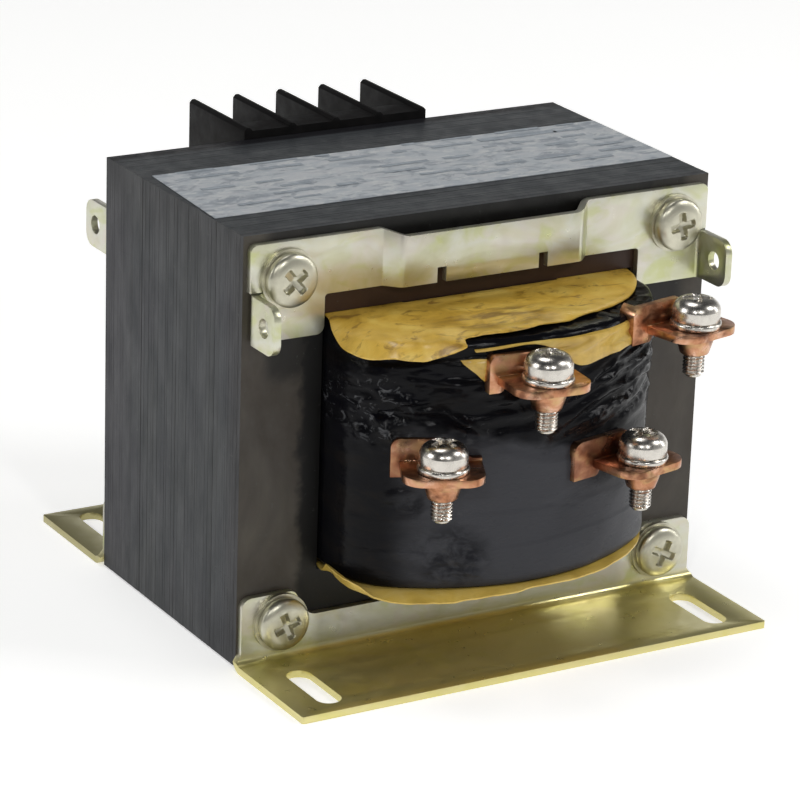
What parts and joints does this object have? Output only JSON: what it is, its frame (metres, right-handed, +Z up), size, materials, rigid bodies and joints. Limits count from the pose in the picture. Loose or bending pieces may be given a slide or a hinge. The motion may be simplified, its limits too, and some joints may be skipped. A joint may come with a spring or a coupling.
{
  "type": "control transformer",
  "caption": "Open core-and-coil control transformer with taped coil, copper screw terminals in front, a rear barrier strip and slotted steel mounting feet.",
  "frame": {"origin": "centre of the foot slot pattern, on the underside of the mounting feet", "axes": "+Z up; -Y towards the copper screw terminals; +X to the right seen from that side; laminations lie in XZ and are stacked along Y"},
  "size_m": [0.1158, 0.1357, 0.0981],
  "materials": {
    "laminations": "dark blue-grey varnished steel laminations, satin",
    "chromated_steel": "yellow zinc chromate plating, satin",
    "coil_tape": "black varnished tape, glossy and wrinkled",
    "insulation_sheet": "varnished yellow insulation sheet",
    "fibre_tube": "wound paper tube",
    "magnet_wire": "enamelled copper winding",
    "copper_strap": "bare copper strap, satin",
    "nickel": "bright nickel plating",
    "zinc_screw": "clear zinc plating",
    "black_moulding": "black phenolic moulding",
    "tinned_plate": "tinned brass plate",
    "lead_sleeve": "varnished sleeving",
    "nameplate_foil": "silver-grey foil label, bare"
  },
  "bodies": {
    "root_frame": {"core_stack": "laminations", "winding_tube": "fibre_tube", "primary_winding": "magnet_wire", "interwinding_insulation": "insulation_sheet", "secondary_winding": "magnet_wire", "coil_wrap": "coil_tape", "top_end_insulation": "insulation_sheet", "bottom_end_insulation": "insulation_sheet", "top_bracket_front": "chromated_steel", "top_bracket_rear": "chromated_steel", "foot_bracket_front": "chromated_steel", "foot_bracket_rear": "chromated_steel", "core_screws": "zinc_screw", "core_washers": "zinc_screw", "core_lock_washers": "zinc_screw", "core_nuts": "zinc_screw", "terminal_strap_1": "copper_strap", "terminal_strap_2": "copper_strap", "terminal_strap_3": "copper_strap", "terminal_strap_4": "copper_strap", "rear_terminal_block": "black_moulding", "rear_terminal_plates": "tinned_plate", "rear_leads": "lead_sleeve", "nameplate": "nameplate_foil"},
    "clamp_1": {"clamp_washer_1": "nickel"},
    "screw_1": {"terminal_screw_1": "nickel"},
    "clamp_2": {"clamp_washer_2": "nickel"},
    "screw_2": {"terminal_screw_2": "nickel"},
    "clamp_3": {"clamp_washer_3": "nickel"},
    "screw_3": {"terminal_screw_3": "nickel"},
    "clamp_4": {"clamp_washer_4": "nickel"},
    "screw_4": {"terminal_screw_4": "nickel"},
    "rclamp_1": {"rear_clamp_1": "nickel"},
    "rscrew_1": {"rear_screw_1": "nickel"},
    "rclamp_2": {"rear_clamp_2": "nickel"},
    "rscrew_2": {"rear_screw_2": "nickel"},
    "rclamp_3": {"rear_clamp_3": "nickel"},
    "rscrew_3": {"rear_screw_3": "nickel"},
    "rclamp_4": {"rear_clamp_4": "nickel"},
    "rscrew_4": {"rear_screw_4": "nickel"}
  },
  "joints": [
    {"name": "clamp_1_lift", "type": "slide", "parent": "root_frame", "child": "clamp_1", "axis": [0, 0, 1], "range_m": [0, 0.00238]},
    {"name": "screw_1_turn", "type": "hinge", "parent": "clamp_1", "child": "screw_1", "pos_m": [-0.0256, -0.0613, 0.04985], "axis": [0, 0, 1], "range_deg": [0, 1080]},
    {"name": "clamp_2_lift", "type": "slide", "parent": "root_frame", "child": "clamp_2", "axis": [0, 0, 1], "range_m": [0, 0.00238]},
    {"name": "screw_2_turn", "type": "hinge", "parent": "clamp_2", "child": "screw_2", "pos_m": [-0.0047, -0.0669, 0.0681], "axis": [0, 0, 1], "range_deg": [0, 1080]},
    {"name": "clamp_3_lift", "type": "slide", "parent": "root_frame", "child": "clamp_3", "axis": [0, 0, 1], "range_m": [0, 0.00238]},
    {"name": "screw_3_turn", "type": "hinge", "parent": "clamp_3", "child": "screw_3", "pos_m": [0.0219, -0.06375, 0.0456], "axis": [0, 0, 1], "range_deg": [0, 1080]},
    {"name": "clamp_4_lift", "type": "slide", "parent": "root_frame", "child": "clamp_4", "axis": [0, 0, 1], "range_m": [0, 0.00238]},
    {"name": "screw_4_turn", "type": "hinge", "parent": "clamp_4", "child": "screw_4", "pos_m": [0.0355, -0.06095, 0.0726], "axis": [0, 0, 1], "range_deg": [0, 1080]},
    {"name": "rclamp_1_lift", "type": "slide", "parent": "root_frame", "child": "rclamp_1", "axis": [0, 0, 1], "range_m": [0, 0.00158]},
    {"name": "rscrew_1_turn", "type": "hinge", "parent": "rclamp_1", "child": "rscrew_1", "pos_m": [-0.01666, 0.0486, 0.0858], "axis": [0, 0, 1], "range_deg": [0, 720]},
    {"name": "rclamp_2_lift", "type": "slide", "parent": "root_frame", "child": "rclamp_2", "axis": [0, 0, 1], "range_m": [0, 0.00158]},
    {"name": "rscrew_2_turn", "type": "hinge", "parent": "rclamp_2", "child": "rscrew_2", "pos_m": [-0.00556, 0.0486, 0.0858], "axis": [0, 0, 1], "range_deg": [0, 720]},
    {"name": "rclamp_3_lift", "type": "slide", "parent": "root_frame", "child": "rclamp_3", "axis": [0, 0, 1], "range_m": [0, 0.00158]},
    {"name": "rscrew_3_turn", "type": "hinge", "parent": "rclamp_3", "child": "rscrew_3", "pos_m": [0.00556, 0.0486, 0.0858], "axis": [0, 0, 1], "range_deg": [0, 720]},
    {"name": "rclamp_4_lift", "type": "slide", "parent": "root_frame", "child": "rclamp_4", "axis": [0, 0, 1], "range_m": [0, 0.00158]},
    {"name": "rscrew_4_turn", "type": "hinge", "parent": "rclamp_4", "child": "rscrew_4", "pos_m": [0.01666, 0.0486, 0.0858], "axis": [0, 0, 1], "range_deg": [0, 720]}
  ],
  "couplings": [
    {"joint": "screw_1_turn", "follows": "clamp_1_lift", "rad_per_m": 7915.8},
    {"joint": "screw_2_turn", "follows": "clamp_2_lift", "rad_per_m": 7915.8},
    {"joint": "screw_3_turn", "follows": "clamp_3_lift", "rad_per_m": 7915.8},
    {"joint": "screw_4_turn", "follows": "clamp_4_lift", "rad_per_m": 7915.8},
    {"joint": "rscrew_1_turn", "follows": "rclamp_1_lift", "rad_per_m": 7915.8},
    {"joint": "rscrew_2_turn", "follows": "rclamp_2_lift", "rad_per_m": 7915.8},
    {"joint": "rscrew_3_turn", "follows": "rclamp_3_lift", "rad_per_m": 7915.8},
    {"joint": "rscrew_4_turn", "follows": "rclamp_4_lift", "rad_per_m": 7915.8}
  ]
}
